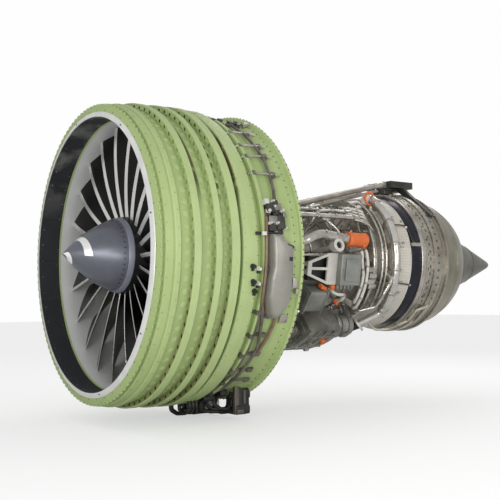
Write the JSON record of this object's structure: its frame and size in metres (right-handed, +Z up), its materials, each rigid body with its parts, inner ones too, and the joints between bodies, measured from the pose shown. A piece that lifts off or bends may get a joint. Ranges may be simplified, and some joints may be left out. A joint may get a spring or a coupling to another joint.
{
  "type": "jet engine",
  "caption": "Large bare high-bypass turbofan engine with a ribbed fan case, wide-chord fan, slender core, turbine case, exhaust nozzle and long plug",
  "frame": {"origin": "centre of the front face of the intake attach ring, on the shaft axis", "axes": "+X aft along the shaft, +Z up, +Y to the right-hand side of the engine"},
  "size_m": [7.27, 3.6679, 3.7522],
  "materials": {
    "polished_ring": "satin",
    "primer_green": "satin",
    "rub_strip": "matte",
    "core_metal": "satin",
    "vane_metal": "satin",
    "bright_steel": "satin",
    "case_metal": "satin",
    "nozzle_metal": "satin",
    "plug_metal": "satin",
    "mount_metal": "satin",
    "shield_cream": "satin",
    "cast_grey": "matte",
    "white_paint": "satin",
    "orange_cap": "matte",
    "tank_grey": "satin",
    "black_hose": "matte",
    "spinner_grey": "satin",
    "blade_black": "gloss",
    "edge_titanium": "satin"
  },
  "bodies": {
    "casing": {"inlet_ring": "polished_ring", "fan_case": "primer_green", "abradable_liner": "rub_strip", "flow_splitter": "core_metal", "outlet_vanes": "vane_metal", "fan_hub_frame": "core_metal", "compressor_case": "core_metal", "combustor_case": "core_metal", "fuel_nozzles": "bright_steel", "turbine_case": "case_metal", "turbine_shield": "shield_cream", "turbine_rear_frame": "case_metal", "exhaust_nozzle": "nozzle_metal", "exhaust_plug": "plug_metal", "shaft_bearings": "bright_steel", "rear_mount_beam": "mount_metal", "mount_hangers": "mount_metal", "front_mount": "mount_metal", "thrust_links": "bright_steel", "accessory_gearbox": "cast_grey", "generator": "bright_steel", "starter": "bright_steel", "hydraulic_pump": "cast_grey", "fuel_pump": "cast_grey", "control_unit": "cast_grey", "control_bracket": "white_paint", "bleed_duct": "bright_steel", "duct_cap": "orange_cap", "cooling_manifold": "bright_steel", "heat_exchanger": "cast_grey", "oil_tank": "tank_grey", "harness_raceway": "bright_steel", "valve_block": "tank_grey", "connector_plate": "black_hose", "supply_hoses": "black_hose", "drain_mast": "bright_steel", "service_tubes": "bright_steel"},
    "fan_spool": {"spinner": "spinner_grey", "fan_disk": "core_metal", "fan_blades": "blade_black", "blade_leading_edges": "edge_titanium", "booster_rotor": "core_metal", "fan_shaft": "bright_steel", "fan_turbine_rotor": "case_metal", "turbine_blades": "case_metal"},
    "core_spool": {"compressor_rotor": "core_metal", "core_turbine_disk": "case_metal"}
  },
  "joints": [
    {"name": "fan_spool_spin", "type": "hinge", "parent": "casing", "child": "fan_spool", "pos_m": [0, 0, 0], "axis": [1, 0, 0], "continuous": true},
    {"name": "core_spool_spin", "type": "hinge", "parent": "casing", "child": "core_spool", "pos_m": [0, 0, 0], "axis": [1, 0, 0], "continuous": true}
  ]
}
